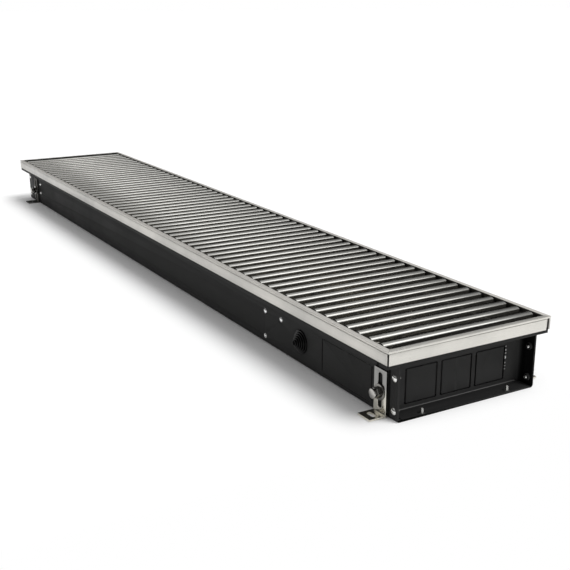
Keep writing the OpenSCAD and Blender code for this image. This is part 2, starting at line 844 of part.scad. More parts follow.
module levelling_screw_front_near() { levelling_screw(1, -1); }

module levelling_screw_front_far() { levelling_screw(-1, -1); }

module levelling_screw_back_near() { levelling_screw(1, 1); }

module levelling_screw_back_far() { levelling_screw(-1, 1); }

// bracket on the back wall
module foot_bracket(x) {
    y0 = tray_y + slide_gap;
    y1 = y0 + bracket_t;
    foot_y = y0 + (foot_reach + bracket_t) / 2;
    half_w = bracket_w / 2;
    half_l = (foot_slot_l - foot_slot_w) / 2;
    color([0.78, 0.77, 0.74]) difference() {
        union() {
            box(x - half_w, x + half_w, y0, y1, 0, bracket_h);
            box(x - half_w, x + half_w, y0, y0 + foot_reach, 0, bracket_t);
        }
        for (z = [slot_z0 + slot_w / 2, slot_z1 - slot_w / 2]) rod_y(y0 - over, y1 + over, x, z, slot_w);
        box(x - slot_w / 2, x + slot_w / 2, y0 - over, y1 + over, slot_z0 + slot_w / 2, slot_z1 - slot_w / 2);
        for (s = [-1, 1]) rod_z(-over, bracket_t + over, x + s * half_l, foot_y, foot_slot_w);
        box(x - half_l, x + half_l, foot_y - foot_slot_w / 2, foot_y + foot_slot_w / 2,
            -over, bracket_t + over);
    }
}

module foot_bracket_front_near() { scale_y(-1) foot_bracket(near_bracket_x); }

module foot_bracket_front_far() { scale_y(-1) foot_bracket(far_bracket_x); }

module foot_bracket_back_near() { foot_bracket(near_bracket_x); }

module foot_bracket_back_far() { foot_bracket(far_bracket_x); }

// centre of a bar along X
function bar_at(i) = bar_x0 + i * bar_pitch;

// one bar: rounded cap, web and foot, with the rod holes
module grille_bar(x) {
    arc_r = (bar_w * bar_w / 4 + cap_rise * cap_rise) / (2 * cap_rise);
    cap_h = cap_rise + cap_edge;
    half_l = bar_len / 2;
    difference() {
        union() {
            intersection() {
                rod_y(-half_l, half_l, x, top_z - arc_r, 2 * arc_r, $fn = 96);
                box(x - bar_w / 2, x + bar_w / 2, -half_l, half_l, top_z - cap_rise, top_z);
            }
            box(x - bar_w / 2, x + bar_w / 2, -half_l, half_l, top_z - cap_h, top_z - cap_rise);
            box(x - web_t / 2, x + web_t / 2, -half_l, half_l, bar_z, top_z - cap_h);
            box(x - bar_foot_w / 2, x + bar_foot_w / 2, -half_l, half_l, bar_z, bar_z + bar_foot_t);
        }
        for (t = [-1, 1]) rod_x(x - web_t, x + web_t, t * rod_place, rod_z, rod_d + 2 * rod_play);
    }
}

module grille_bars() {
    color([0.75, 0.75, 0.74]) for (i = [0 : bar_count - 1]) grille_bar(bar_at(i));
}

module grille_rods() {
    out = web_t / 2 + sleeve_play;
    color([0.6, 0.6, 0.6]) for (t = [-1, 1]) {
        rod_x(bar_at(0) - out, bar_at(bar_count - 1) + out, t * rod_place, rod_z, rod_d);
        rod_x(bar_at(0) - out - bar_foot_t, bar_at(0) - out, t * rod_place, rod_z, sleeve_d);
        rod_x(bar_at(bar_count - 1) + out, bar_at(bar_count - 1) + out + bar_foot_t, t * rod_place,
            rod_z, sleeve_d);
    }
}

module grille_spacers() {
    out = web_t / 2 + sleeve_play;
    color([0.1, 0.1, 0.1]) for (t = [-1, 1], i = [0 : bar_count - 2]) difference() {
        rod_x(bar_at(i) + out, bar_at(i + 1) - out, t * rod_place, rod_z, sleeve_d);
        rod_x(bar_at(i), bar_at(i + 1), t * rod_place, rod_z, rod_d + 2 * rod_play);
    }
}

trench_tray();
end_plate_near();
end_plate_far();
frame_rail_front();
frame_rail_back();
frame_rail_near();
frame_rail_far();
frame_corner_keys();
frame_seals();
grille_support_strips();
end_plate_screws();
end_plate_nuts();
wall_rivets();
cable_grommet();
earth_stud();
earth_nuts();
cradle_near();
cradle_far();
fin_pack();
copper_circuit();
union_nuts();
flow_valve_body();
return_valve_body();
air_vent_body();
clamp_bolts();
clamp_washers();
clamp_nuts();
clamp_inner_nuts();
levelling_bushes();
grille_bars();
grille_rods();
grille_spacers();
foot_bracket_front_near();
foot_bracket_front_far();
foot_bracket_back_near();
foot_bracket_back_far();
levelling_screw_front_near();
levelling_screw_front_far();
levelling_screw_back_near();
levelling_screw_back_far();
flow_hand_cap();
return_spindle();
air_vent_screw();
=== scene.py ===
import json
import math
import bmesh
import bpy
from mathutils import Matrix, Vector

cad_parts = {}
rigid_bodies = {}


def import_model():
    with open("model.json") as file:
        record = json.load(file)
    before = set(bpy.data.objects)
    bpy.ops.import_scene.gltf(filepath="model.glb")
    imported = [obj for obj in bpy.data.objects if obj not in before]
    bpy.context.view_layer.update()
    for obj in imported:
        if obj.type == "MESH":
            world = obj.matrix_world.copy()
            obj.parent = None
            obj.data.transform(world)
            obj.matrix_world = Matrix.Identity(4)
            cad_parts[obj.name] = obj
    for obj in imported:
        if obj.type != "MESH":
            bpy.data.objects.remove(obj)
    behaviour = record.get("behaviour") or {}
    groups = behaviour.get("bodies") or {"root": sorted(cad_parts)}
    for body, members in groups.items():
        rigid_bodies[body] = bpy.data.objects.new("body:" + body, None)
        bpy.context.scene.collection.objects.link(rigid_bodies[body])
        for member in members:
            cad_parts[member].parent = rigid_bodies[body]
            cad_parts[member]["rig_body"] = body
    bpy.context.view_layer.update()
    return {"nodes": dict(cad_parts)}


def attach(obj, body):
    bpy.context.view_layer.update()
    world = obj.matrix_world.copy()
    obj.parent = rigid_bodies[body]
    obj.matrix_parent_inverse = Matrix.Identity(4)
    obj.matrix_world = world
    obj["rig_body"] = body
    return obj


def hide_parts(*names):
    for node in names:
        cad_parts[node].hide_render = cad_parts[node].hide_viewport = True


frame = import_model()
MM = 0.001


# Sizes repeated from the part's source, in metres. X runs to the near end, Y to the back, Z up.
WALL_Y = 0.115
SIDES = (-1, 1)
CLAMP_BOLTS = [(0.771, 0.031), (-0.742, 0.031)]
END_SCREWS = [(x, z) for x in (-0.7965, 0.7965) for z in (0.013, 0.0575)]
NUT_SEAT_Y = 0.1124
RIVETS = [(0.468, 0.051), (0.468, 0.011), (-0.709, 0.051), (-0.709, 0.029)]
EARTH_STUD = (0.516, 0.051)
GROMMET = (0.5735, -0.115, 0.0345)
LEVELLING = {
    "front_near": (0.800, -0.072),
    "front_far": (-0.800, -0.072),
    "back_near": (0.800, 0.072),
    "back_far": (-0.800, 0.072),
}
# Upright edges of an end plate's knock-outs, the middle one's and an outer one's, as distances from Y = 0.
KNOCK_MIDDLE, KNOCK_INNER, KNOCK_OUTER = 0.0250, 0.0334, 0.0834
KNOCK_Z, KNOCK_HALF_HEIGHT = 0.0335, 0.0240
WALL_KNOCK_X = (0.631, 0.749)

# Places in metres over which a painted colour fades: painted shade towards the tray's far end, and a
# bracket's painted reflection at its foot giving way to grey above.
FAR_SHADE_X = (-0.8, 0.2)
BRACKET_REFLECTION_Z = (0.014, 0.040)

# Limits of the zones of the tray where light and shade are painted, in metres: an end plate's face, the
# recess outside it, its foot flange.
PLATE_LIMIT_X = 0.800
RECESS_X = 0.770
FLANGE_TOP_Z = 0.012

# Half widths of the painted shadow lines round the knock-outs, in metres.
UPRIGHT_LINE_HALF, LEVEL_LINE_HALF, WALL_LINE_HALF = 0.0013, 0.0008, 0.0015

# Centre and half width in metres of a painted shadow strip on the front wall beside a bracket, and of
# painted glints beside a slit in an end plate.
WALL_SHADOW_X = (0.7870, 0.0022)
GLINTS_Y, GLINTS_Z = (0.0858, 0.0011), (0.040, 0.017)
GLINTS_PER_METRE = 210.0
GLINT_SHARE = (0.50, 0.56)

# Components of a unit normal between which painted light and shade on the faces that lie one way fade in.
PLATE_FACES = (0.8, 0.95)
FLANGE_FACES = (0.9, 0.99)
TOP_FACES = (0.7, 0.95)
STEEP_FACES = (0.75, 0.95)
INNER_FACES = (-0.9, -0.5)
FLAT_FACE = 0.9
# Centre and half width of the upward component on the bend above a flange, where a highlight is painted.
BEND_LEAN = (0.62, 0.26)

# Colours of painted light and shade on the tray's black coat, not colours of the coat itself: painted shade
# at the far end, inside, on the foot flanges and in lines; painted light on the end plates; a painted
# highlight on the bends; painted glints.
TRAY_LIGHT_AND_SHADE = {
    "far end": (0.019, 0.019, 0.0188),
    "inside": (0.005, 0.005, 0.005),
    "end plate": (0.0490, 0.0490, 0.0486),
    "flange": (0.022, 0.022, 0.022),
    "bend": (0.15, 0.15, 0.148),
    "knock-out shadow": (0.002, 0.002, 0.002),
    "wall shadow": (0.003, 0.003, 0.003),
    "glint": (0.95, 0.95, 0.94),
}
# Painted light on the tops of the front and back rails.
RAIL_TOP_LIGHT = (0.66, 0.64, 0.60)
# Painted shade on the rails' inner sides.
RAIL_INSIDE_SHADE = (0.12, 0.118, 0.11)
# Painted light on a bar's steep sides.
BAR_SIDE_LIGHT = (0.72, 0.69, 0.62)
# Grey of a bracket above its foot; the bright foot is a painted reflection of the floor.
BRACKET_UPPER = (0.26, 0.258, 0.25)

MATS = {}


# Helpers for node graphs.
def material(name):
    """A new material with an empty Principled shader; gives its node tree and the shader."""
    m = bpy.data.materials.new(name)
    m.use_nodes = True
    nt = m.node_tree
    nt.nodes.clear()
    out = nt.nodes.new("ShaderNodeOutputMaterial")
    bsdf = nt.nodes.new("ShaderNodeBsdfPrincipled")
    nt.links.new(bsdf.outputs["BSDF"], out.inputs["Surface"])
    MATS[name] = m
    return nt, bsdf


def made(name):
    """The node tree and the Principled shader of a material made before."""
    nt = MATS[name].node_tree
    return nt, next(n for n in nt.nodes if n.type == "BSDF_PRINCIPLED")


def noise(nt, scale, detail=4.0, rough=0.55, shift=(0.0, 0.0, 0.0)):
    """Noise over the piece; scale is one number or one for each axis, in cells to a metre."""
    co = nt.nodes.new("ShaderNodeTexCoord")
    mapping = nt.nodes.new("ShaderNodeMapping")
    mapping.inputs["Scale"].default_value = scale if isinstance(scale, tuple) else (scale,) * 3
    mapping.inputs["Location"].default_value = shift
    texture = nt.nodes.new("ShaderNodeTexNoise")
    texture.inputs["Scale"].default_value = 1.0
    texture.inputs["Detail"].default_value = detail
    texture.inputs["Roughness"].default_value = rough
    nt.links.new(co.outputs["Object"], mapping.inputs["Vector"])
    nt.links.new(mapping.outputs["Vector"], texture.inputs["Vector"])
    return texture.outputs["Fac"]


def times(colour, factor):
    """The colour, brighter or darker by a factor."""
    return tuple(min(1.0, part * factor) for part in colour)


def shades(nt, fac, colour, less, more, low=0.3, high=0.7):
    """The colour, darker by the share less below low and brighter by the share more above high."""
    r = nt.nodes.new("ShaderNodeValToRGB")
    r.color_ramp.elements[0].position = low
    r.color_ramp.elements[1].position = high
    r.color_ramp.elements[0].color = (*times(colour, 1 - less), 1)
    r.color_ramp.elements[1].color = (*times(colour, 1 + more), 1)
    nt.links.new(fac, r.inputs["Fac"])
    return r.outputs["Color"]


def span(nt, value, a, b, low=0.3, high=0.7):
    """From a at low to b at high, and level beyond."""
    r = nt.nodes.new("ShaderNodeMapRange")
    r.inputs["From Min"].default_value = low
    r.inputs["From Max"].default_value = high
    r.inputs["To Min"].default_value = a
    r.inputs["To Max"].default_value = b
    nt.links.new(value, r.inputs["Value"])
    return r.outputs["Result"]


def rise(nt, value, low, high):
    """From nought at low to one at high."""
    return span(nt, value, 0.0, 1.0, low, high)


def fall(nt, value, low, high):
    """From one at low to nought at high."""
    return span(nt, value, 1.0, 0.0, low, high)


def mix(nt, fac, a, b):
    """Colour a where fac is nought, b where it is one."""
    m = nt.nodes.new("ShaderNodeMix")
    m.data_type = "RGBA"
    nt.links.new(fac, m.inputs[0])
    nt.links.new(a, m.inputs[6])
    nt.links.new(b, m.inputs[7])
    return m.outputs[2]


def bump(nt, bsdf, layers):
    """Bump from layers of (height, strength, distance in metres), one on the other."""
    normal = None
    for height, strength, distance in layers:
        b = nt.nodes.new("ShaderNodeBump")
        b.inputs["Strength"].default_value = strength
        b.inputs["Distance"].default_value = distance
        nt.links.new(height, b.inputs["Height"])
        if normal is not None:
            nt.links.new(normal, b.inputs["Normal"])
        normal = b.outputs["Normal"]
    nt.links.new(normal, bsdf.inputs["Normal"])


def calc(nt, kind, *values):
    """One step of arithmetic on numbers and sockets."""
    m = nt.nodes.new("ShaderNodeMath")
    m.operation = kind
    for socket, value in zip(m.inputs, values):
        if isinstance(value, float):
            socket.default_value = value
        else:
            nt.links.new(value, socket)
    return m.outputs[0]


def chain(nt, kind, parts):
    out = parts[0]
    for part in parts[1:]:
        out = calc(nt, kind, out, part)
    return out


def both(nt, *parts):
    """One where all the parts are one."""
    return chain(nt, "MULTIPLY", parts)


def either(nt, *parts):
    """One where any of the parts is one."""
    return chain(nt, "MAXIMUM", parts)


def near(nt, value, centre, half):
    """One within half of the centre, nought beyond."""
    away = calc(nt, "ABSOLUTE", calc(nt, "SUBTRACT", value, centre))
    return calc(nt, "LESS_THAN", away, half)


def components(nt, socket):
    part = nt.nodes.new("ShaderNodeSeparateXYZ")
    nt.links.new(socket, part.inputs[0])
    return part.outputs


def place(nt):
    """The three coordinates of a point, in metres."""
    return components(nt, nt.nodes.new("ShaderNodeTexCoord").outputs["Object"])


def facing(nt):
    """The three components of the surface normal."""
    return components(nt, nt.nodes.new("ShaderNodeNewGeometry").outputs["Normal"])


def inner_side(nt, axis):
    """One on the faces that look towards the middle of the trench along the axis."""
    outward = calc(nt, "MULTIPLY", calc(nt, "SIGN", place(nt)[axis]), facing(nt)[axis])
    return fall(nt, outward, *INNER_FACES)


def recolour(nt, bsdf, fac, colour):
    """Put another colour over the base colour where fac is one."""
    socket = bsdf.inputs["Base Color"]
    old = socket.links[0].from_socket
    new = nt.nodes.new("ShaderNodeRGB")
    new.outputs[0].default_value = (*colour, 1)
    nt.links.new(mix(nt, fac, old, new.outputs[0]), socket)


# Kinds of material.
def coat(name, base, rough=0.55, specular=0.4):
    """Powder coat: fine orange peel, faint clouds in colour and gloss."""
    nt, b = material(name)
    cloud = noise(nt, 14.0, detail=5.0)
    peel = noise(nt, 900.0, detail=2.0)
    b.inputs["Specular IOR Level"].default_value = specular
    nt.links.new(shades(nt, cloud, base, less=0.12, more=0.12, high=0.72), b.inputs["Base Color"])
    nt.links.new(span(nt, cloud, rough - 0.06, rough + 0.06), b.inputs["Roughness"])
    bump(nt, b, [(peel, 0.35, 0.06 * MM)])


def metal(name, base, tint=None, rough=0.3, along=None, spread=0.06, metallic=1.0, specular_tint=1.0,
          fine=900.0, length=9.0, clouds=9.0, depth=0.02, blotch=0.0):
    """Metal with faint clouds of a second tint, and smudges in its gloss.

    The grain runs along an axis (0, 1 or 2) or evenly (None): fine gives its cells to a metre across,
    length along. Depth and blotch are the depths of the grain and of the smudges, in millimetres."""
    nt, b = material(name)
    b.inputs["Metallic"].default_value = metallic
    b.inputs["Specular Tint"].default_value = (specular_tint, specular_tint, specular_tint, 1)
    stretch = tuple(length if axis == along else fine for axis in range(3))
    grain = noise(nt, stretch, detail=3.0, rough=0.6)
    cloud = noise(nt, clouds, detail=5.0, rough=0.6, shift=(3.1, 1.7, 0.4))
    smudge = noise(nt, 31.0, detail=6.0, rough=0.7, shift=(0.3, 5.1, 2.2))
    first = shades(nt, grain, base, less=spread, more=spread)
    second = shades(nt, grain, tint or base, less=spread, more=spread)
    nt.links.new(mix(nt, rise(nt, cloud, 0.35, 0.7), first, second), b.inputs["Base Color"])
    nt.links.new(span(nt, smudge, rough - 0.05, rough + 0.07, low=0.35, high=0.75), b.inputs["Roughness"])
    layers = [(grain, 0.25, depth * MM)]
    if blotch:
        layers.append((smudge, 0.4, blotch * MM))
    bump(nt, b, layers)


def rubber(name, base, rough=0.62, specular=0.35):
    """Rubber or moulded plastic: fine pores, clouds in colour and gloss."""
    nt, b = material(name)
    pores = noise(nt, 1400.0, detail=2.0)
    cloud = noise(nt, 60.0)
    nt.links.new(shades(nt, cloud, base, less=0.25, more=0.35), b.inputs["Base Color"])
    nt.links.new(span(nt, cloud, rough - 0.08, rough + 0.08), b.inputs["Roughness"])
    b.inputs["Specular IOR Level"].default_value = specular
    bump(nt, b, [(pores, 0.25, 0.04 * MM)])


PLATED = {"fine": 1500.0, "depth": 0.03, "spread": 0.08}
BENT_PLATE = {"along": 2, "fine": 1100.0, "length": 25.0, "clouds": 55.0, "depth": 0.03, "blotch": 0.03}

coat("tray_black", (0.0360, 0.0360, 0.0356), specular=0.06)
metal("rail_x", (0.44, 0.43, 0.405), (0.62, 0.60, 0.56), 0.34, along=0, spread=0.05, clouds=6.0)
metal("rail_y", (0.60, 0.588, 0.55), (0.70, 0.68, 0.635), 0.24, along=1, spread=0.04)
metal("bar", (0.47, 0.465, 0.44), (0.52, 0.515, 0.49), 0.18, along=1, spread=0.05, metallic=0.94)
metal("key_steel", (0.5, 0.5, 0.48), rough=0.4)
rubber("rubber_black", (0.012, 0.012, 0.012))
rubber("grommet_rubber", (0.0010, 0.0010, 0.0010), 0.20, 0.12)
metal("screw_zinc", (0.74, 0.74, 0.72), (0.62, 0.62, 0.6), 0.14, clouds=60.0, **PLATED)
metal("rivet_bright", (0.86, 0.86, 0.85), rough=0.13, spread=0.05, fine=1500.0, clouds=80.0)
metal("bolt_dark", (0.46, 0.45, 0.43), (0.36, 0.35, 0.33), 0.22, clouds=90.0, **PLATED)
# Painted shade: a darker copy of the zinc for the clamp nuts and washers, standing in for their dark
# reflections.
metal("nut_zinc_shaded", (0.24, 0.235, 0.22), (0.18, 0.175, 0.165), 0.20, clouds=90.0, **PLATED)
metal("bracket_zinc", (0.80, 0.775, 0.69), (0.72, 0.69, 0.61), 0.17, **BENT_PLATE)
# Painted shade: a darker copy of the bracket zinc for the far brackets.
metal("bracket_zinc_shaded", (0.22, 0.218, 0.208), (0.15, 0.148, 0.14), 0.30, specular_tint=0.3, **BENT_PLATE)
metal("cradle_zinc", (0.5, 0.51, 0.53), (0.62, 0.63, 0.65), 0.4, spread=0.1, fine=300.0, clouds=40.0,
      depth=0.03)
metal("brass_plain", (0.72, 0.53, 0.24), (0.62, 0.43, 0.2), 0.28, clouds=50.0)
metal("fin_aluminium", (0.74, 0.75, 0.77), rough=0.3, along=2)
metal("copper", (0.72, 0.36, 0.22), (0.55, 0.26, 0.16), 0.3, along=0, spread=0.07)
metal("rod_steel", (0.52, 0.52, 0.52), rough=0.28, along=0)
rubber("spacer_plastic", (0.014, 0.014, 0.014), 0.5)
rubber("cap_plastic", (0.78, 0.77, 0.73), 0.4)


# Painted light and shade on the materials, and the rails' satin tops.
def refine_tray():
    """Painted shade at the far end, inside, on the foot flanges and in lines round the knock-outs; painted
    light on the end plates, a highlight on the bends and glints.
    """
    nt, b = made("tray_black")
    x, y, z = place(nt)
    nx, ny, nz = facing(nt)
    along, across = calc(nt, "ABSOLUTE", x), calc(nt, "ABSOLUTE", y)
    # Painted shade, darker towards the far end.
    recolour(nt, b, fall(nt, x, *FAR_SHADE_X), TRAY_LIGHT_AND_SHADE["far end"])
    # Painted shade on the faces inside the trench.
    recolour(nt, b, inner_side(nt, 1), TRAY_LIGHT_AND_SHADE["inside"])

    # Painted light: the end plates' faces paler than the rest of the black coat.
    upright = rise(nt, calc(nt, "ABSOLUTE", nx), *PLATE_FACES)
    plate = both(nt, upright, calc(nt, "LESS_THAN", along, PLATE_LIMIT_X))
    recolour(nt, b, plate, TRAY_LIGHT_AND_SHADE["end plate"])
    low_end = both(nt, calc(nt, "GREATER_THAN", along, RECESS_X), calc(nt, "LESS_THAN", z, FLANGE_TOP_Z))
    # Painted shade on the upward faces of the foot flanges at the ends.
    recolour(nt, b, both(nt, low_end, rise(nt, nz, *FLANGE_FACES)), TRAY_LIGHT_AND_SHADE["flange"])
    # Painted highlight along the bend above each foot flange.
    recolour(nt, b, both(nt, low_end, near(nt, nz, *BEND_LEAN)), TRAY_LIGHT_AND_SHADE["bend"])

    # Painted shadow lines along the cuts round the knock-outs, a little wider than the cuts.
    knock_level = near(nt, z, KNOCK_Z, KNOCK_HALF_HEIGHT)
    edges = (near(nt, across, at, UPRIGHT_LINE_HALF) for at in (KNOCK_MIDDLE, KNOCK_INNER, KNOCK_OUTER))
    uprights = both(nt, either(nt, *edges), knock_level)
    height = calc(nt, "ABSOLUTE", calc(nt, "SUBTRACT", z, KNOCK_Z))
    web = near(nt, across, (KNOCK_MIDDLE + KNOCK_INNER) / 2, (KNOCK_INNER - KNOCK_MIDDLE) / 2)
    levels = both(nt, near(nt, height, KNOCK_HALF_HEIGHT, LEVEL_LINE_HALF),
                  calc(nt, "LESS_THAN", across, KNOCK_OUTER), calc(nt, "SUBTRACT", 1.0, web))
    recolour(nt, b, both(nt, plate, either(nt, uprights, levels)), TRAY_LIGHT_AND_SHADE["knock-out shadow"])

    # Painted shadow lines along the front wall's knock-out, and a painted shadow strip beside the near
    # bracket.
    edges = (near(nt, x, at, WALL_LINE_HALF) for at in WALL_KNOCK_X)
    lines = either(nt, both(nt, either(nt, *edges), knock_level), near(nt, x, *WALL_SHADOW_X))
    front = calc(nt, "LESS_THAN", ny, -FLAT_FACE)
    recolour(nt, b, both(nt, front, lines), TRAY_LIGHT_AND_SHADE["wall shadow"])

    # Painted glints: white specks beside a slit of an end plate's outer knock-out.
    glints = rise(nt, noise(nt, (0.0, 0.0, GLINTS_PER_METRE), detail=2.0), *GLINT_SHARE)
    spot = both(nt, near(nt, y, *GLINTS_Y), near(nt, z, *GLINTS_Z), calc(nt, "GREATER_THAN", nx, FLAT_FACE))
    recolour(nt, b, both(nt, glints, spot), TRAY_LIGHT_AND_SHADE["glint"])


def refine_rails():
    """Satin tops that reflect less, painted light on the tops of the front and back rails, and painted
    shade on the inner sides.
    """
    for name, across, metallic_top in (("rail_x", 1, 0.45), ("rail_y", 0, 0.5)):
        nt, b = made(name)
        top = rise(nt, facing(nt)[2], *TOP_FACES)
        # Painted light on the tops of the front and back rails.
        if name == "rail_x":
            recolour(nt, b, top, RAIL_TOP_LIGHT)
        nt.links.new(span(nt, top, 1.0, metallic_top, 0.0, 1.0), b.inputs["Metallic"])
        # Painted shade on the rails' inner sides.
        recolour(nt, b, inner_side(nt, across), RAIL_INSIDE_SHADE)


def refine_bars():
    """Painted light: paler on the steep sides of a bar."""
    nt, b = made("bar")
    steep = rise(nt, calc(nt, "ABSOLUTE", facing(nt)[0]), *STEEP_FACES)
    recolour(nt, b, steep, BAR_SIDE_LIGHT)


def refine_brackets():
    """Painted reflection of the floor: bright at the foot of a bracket, greyer above it."""
    nt, b = made("bracket_zinc")
    recolour(nt, b, rise(nt, place(nt)[2], *BRACKET_REFLECTION_Z), BRACKET_UPPER)


refine_tray()
refine_rails()
refine_bars()
refine_brackets()


# Helpers for meshes.
FLAT_ANGLE = 0.8
FOLD_ROUND = 3.0 * MM
CLOSE = 0.2 * MM
LONG = 0.1
CREST = (0.38, 0.62)


def into_scene(ob):
    bpy.context.scene.collection.objects.link(ob)
    return ob


def smooth(me, angle=35.0):
    me.shade_smooth()
    me.set_sharp_from_angle(angle=math.radians(angle))


def applied(ob):
    """The object's mesh with its modifiers applied; the object is removed."""
    graph = bpy.context.evaluated_depsgraph_get()
    me = bpy.data.meshes.new_from_object(ob.evaluated_get(graph))
    bpy.data.objects.remove(ob)
    return me


def stand_in(me, node, mat):
    """Show a mesh in place of a CAD node, on the same body."""
    ob = into_scene(bpy.data.objects.new(node + "_look", me))
    me.materials.clear()
    me.materials.append(MATS[mat])
    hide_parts(node)
    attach(ob, frame["nodes"][node]["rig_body"])


def dress(node, mat, bevel=0.3, segments=2, angle=40.0, folds=None):
    """The CAD mesh with its flat faces joined and its edges rounded; folds picks edges for a wide round.

    The bevel is in millimetres, the angle that an edge needs for it in degrees."""
    bm = bmesh.new()
    bm.from_mesh(frame["nodes"][node].data)
    bmesh.ops.remove_doubles(bm, verts=bm.verts, dist=0.001 * MM)
    bmesh.ops.dissolve_limit(bm, angle_limit=math.radians(FLAT_ANGLE), verts=bm.verts, edges=bm.edges)
    if folds:
        picked = [e for e in bm.edges if folds(*(v.co for v in e.verts))]
        bmesh.ops.bevel(bm, geom=picked, offset=FOLD_ROUND, segments=4, affect="EDGES", profile=0.5)
    flat = bpy.data.meshes.new(node + "_flat")
    bm.to_mesh(flat)
    bm.free()
    ob = into_scene(bpy.data.objects.new(node + "_flat", flat))
    mod = ob.modifiers.new("edge", "BEVEL")
    mod.width = bevel * MM
    mod.segments = segments
    mod.limit_method = "ANGLE"
    mod.angle_limit = math.radians(angle)
    me = applied(ob)
    me.name = node + "_look"
    smooth(me, 50.0)
    stand_in(me, node, mat)


def long_bottom(a, b):
    """Whether an edge from a to b is one of the two long bottom bends of the tray."""
    low = max(a.z, b.z) < CLOSE
    outer = min(abs(a.y), abs(b.y)) > WALL_Y - CLOSE and abs(a.y - b.y) < CLOSE
    return low and outer and abs(a.x - b.x) > LONG


def lathe(bm, profile, origin, axis, segs):
    """Surface of revolution: the profile is (radius, distance along the axis) in millimetres.

    The axis is one of the main directions. The surface is closed where the profile begins and ends on
    the axis, or ends where it began."""
    w = Vector(axis)
    u = Vector((0, 0, 1)) if abs(w.z) < 0.9 else Vector((1, 0, 0))
    v = w.cross(u)
    o = Vector(origin)
    turns = [2 * math.pi * k / segs for k in range(segs)]
    rings = []
    for r, t in profile:
        middle = o + w * t * MM
        if r < 1e-6:
            rings.append([bm.verts.new(middle)])
        else:
            outward = [u * math.cos(a) + v * math.sin(a) for a in turns]
            rings.append([bm.verts.new(middle + arm * r * MM) for arm in outward])
    for a, b in zip(rings, rings[1:]):
        if len(a) == 1 and len(b) == 1:
            continue
        for k in range(segs):
            n = (k + 1) % segs
            if len(a) == 1:
                bm.faces.new((a[0], b[n], b[k]))
            elif len(b) == 1:
                bm.faces.new((a[k], a[n], b[0]))
            else:
                bm.faces.new((a[k], a[n], b[n], b[k]))


def turned_mesh(name, profile, places, segs, angle=35.0):
    """One mesh of the same turned form at each place, an (origin, axis)."""
    bm = bmesh.new()
    for origin, axis in places:
        lathe(bm, profile, origin, axis, segs)
    if profile[0] == profile[-1]:
        bmesh.ops.remove_doubles(bm, verts=bm.verts, dist=1e-7)
    bmesh.ops.recalc_face_normals(bm, faces=bm.faces)
    me = bpy.data.meshes.new(name)
    bm.to_mesh(me)
    bm.free()
    smooth(me, angle)
    return me


# Pieces of a profile, in millimetres.
def quarter(r0, t0, r1, t1, steps):
    """Quarter round from (r0, t0) to (r1, t1), bulging away from the axis."""
    turns = [math.pi / 2 * k / steps for k in range(steps + 1)]
    return [(r1 + (r0 - r1) * math.cos(a), t0 + (t1 - t0) * math.sin(a)) for a in turns]


def cap(radius, height, inner, steps=10):
    """Spherical cap, from the rim in to the inner radius."""
    ball = (radius * radius + height * height) / (2 * height)
    first, last = math.asin(radius / ball), math.asin(inner / ball)
    turns = [first + (last - first) * k / steps for k in range(steps + 1)]
    return [(ball * math.sin(a), ball * math.cos(a) - ball + height) for a in turns]


def thread(radius, depth, start, end, pitch):
    """Thread as a row of rings, each with a flat crest between two shares of its length."""
    count = max(1, round((end - start) / pitch))
    step = (end - start) / count
    points = []
    for k in range(count):
        foot = start + k * step
        points += [(radius - depth, foot)] + [(radius, foot + share * step) for share in CREST]
    return points + [(radius - depth, end)]


def grommet_profile():
    """Collar in the wall's hole, round rim, then steps that narrow to the tip, all round a 6 mm hole."""
    rim, reach, steps, widest, narrowest = 2.0, 12.0, 5, 14.95, 5.0
    points = [(3.0, -2.8), (15.9, -2.8), (16.5, -2.4), (16.5, -1.6), (16.1, -1.2)]
    points += [(widest, -1.2), (widest, 0), (17.4, 0), (17.75, 0.3)]
    points += quarter(17.75, 0.8, 16.4, rim, 4)
    height = (reach - rim) / steps
    for k in range(steps):
        r = widest - k * (widest - narrowest) / (steps - 1)
        t = rim + k * height
        points += [(r - 1.0, t + 0.02), (r - 0.4, t + 0.12), (r - 0.06, t + 0.5), (r, t + 0.95)]
        points += [(r - 0.1, t + 1.4), (r - 0.5, t + 1.75), (r - 1.1, t + height - 0.05)]
    return points + [(3.4, reach - 0.02), (3.0, reach - 0.3), (3.0, -2.8)]


# Half sections of the turned pieces. Distances run outward from the wall's outer face, for an end nut
# inward from its seat, and for a levelling screw up from the ground.
DOME_HEAD = [(2.0, 0.0), (3.9, 0.0)] + cap(4.0, 1.45, 0.95) + [(0.8, 1.2), (0.7, 0.7), (0.0, 0.65)]
RIVET = [(0, -3.8), (2.3, -3.8), (2.88, -3.4), (2.88, -2.75), (2.0, -2.7)] + DOME_HEAD
STUD = [(0, -14.9), (1.6, -14.9), (2.0, -14.4)] + thread(2.0, 0.24, -14.2, -1.4, 0.7)
STUD += [(2.0, -1.2)] + DOME_HEAD
END_SCREW = [(0, -8.5), (1.9, -8.5), (2.4, -8.0)] + thread(2.5, 0.28, -7.9, -1.0, 0.8)
END_SCREW += [(2.5, -0.6), (2.5, 0), (4.9, 0)] + cap(5.0, 2.15, 1.2) + [(1.05, 1.9), (0.95, 0.9), (0, 0.8)]
END_NUT = [(2.56, 0), (4.9, 0), (5.0, 0.3), (5.0, 1.0)] + quarter(5.0, 1.0, 3.4, 3.9, 6)
END_NUT += [(3.0, 4.0), (2.75, 3.8), (2.56, 3.4), (2.56, 0)]
CLAMP_BOLT = [(0, -8.6), (3.3, -8.6), (3.7, -8.1)] + thread(4.0, 0.55, -8.0, 12.2, 1.25)
CLAMP_BOLT += [(3.9, 12.4), (3.9, 12.9), (6.35, 12.9), (6.75, 13.3)]
CLAMP_BOLT += [(6.75, 14.9), (6.62, 15.3), (6.3, 15.5), (0, 15.5)]
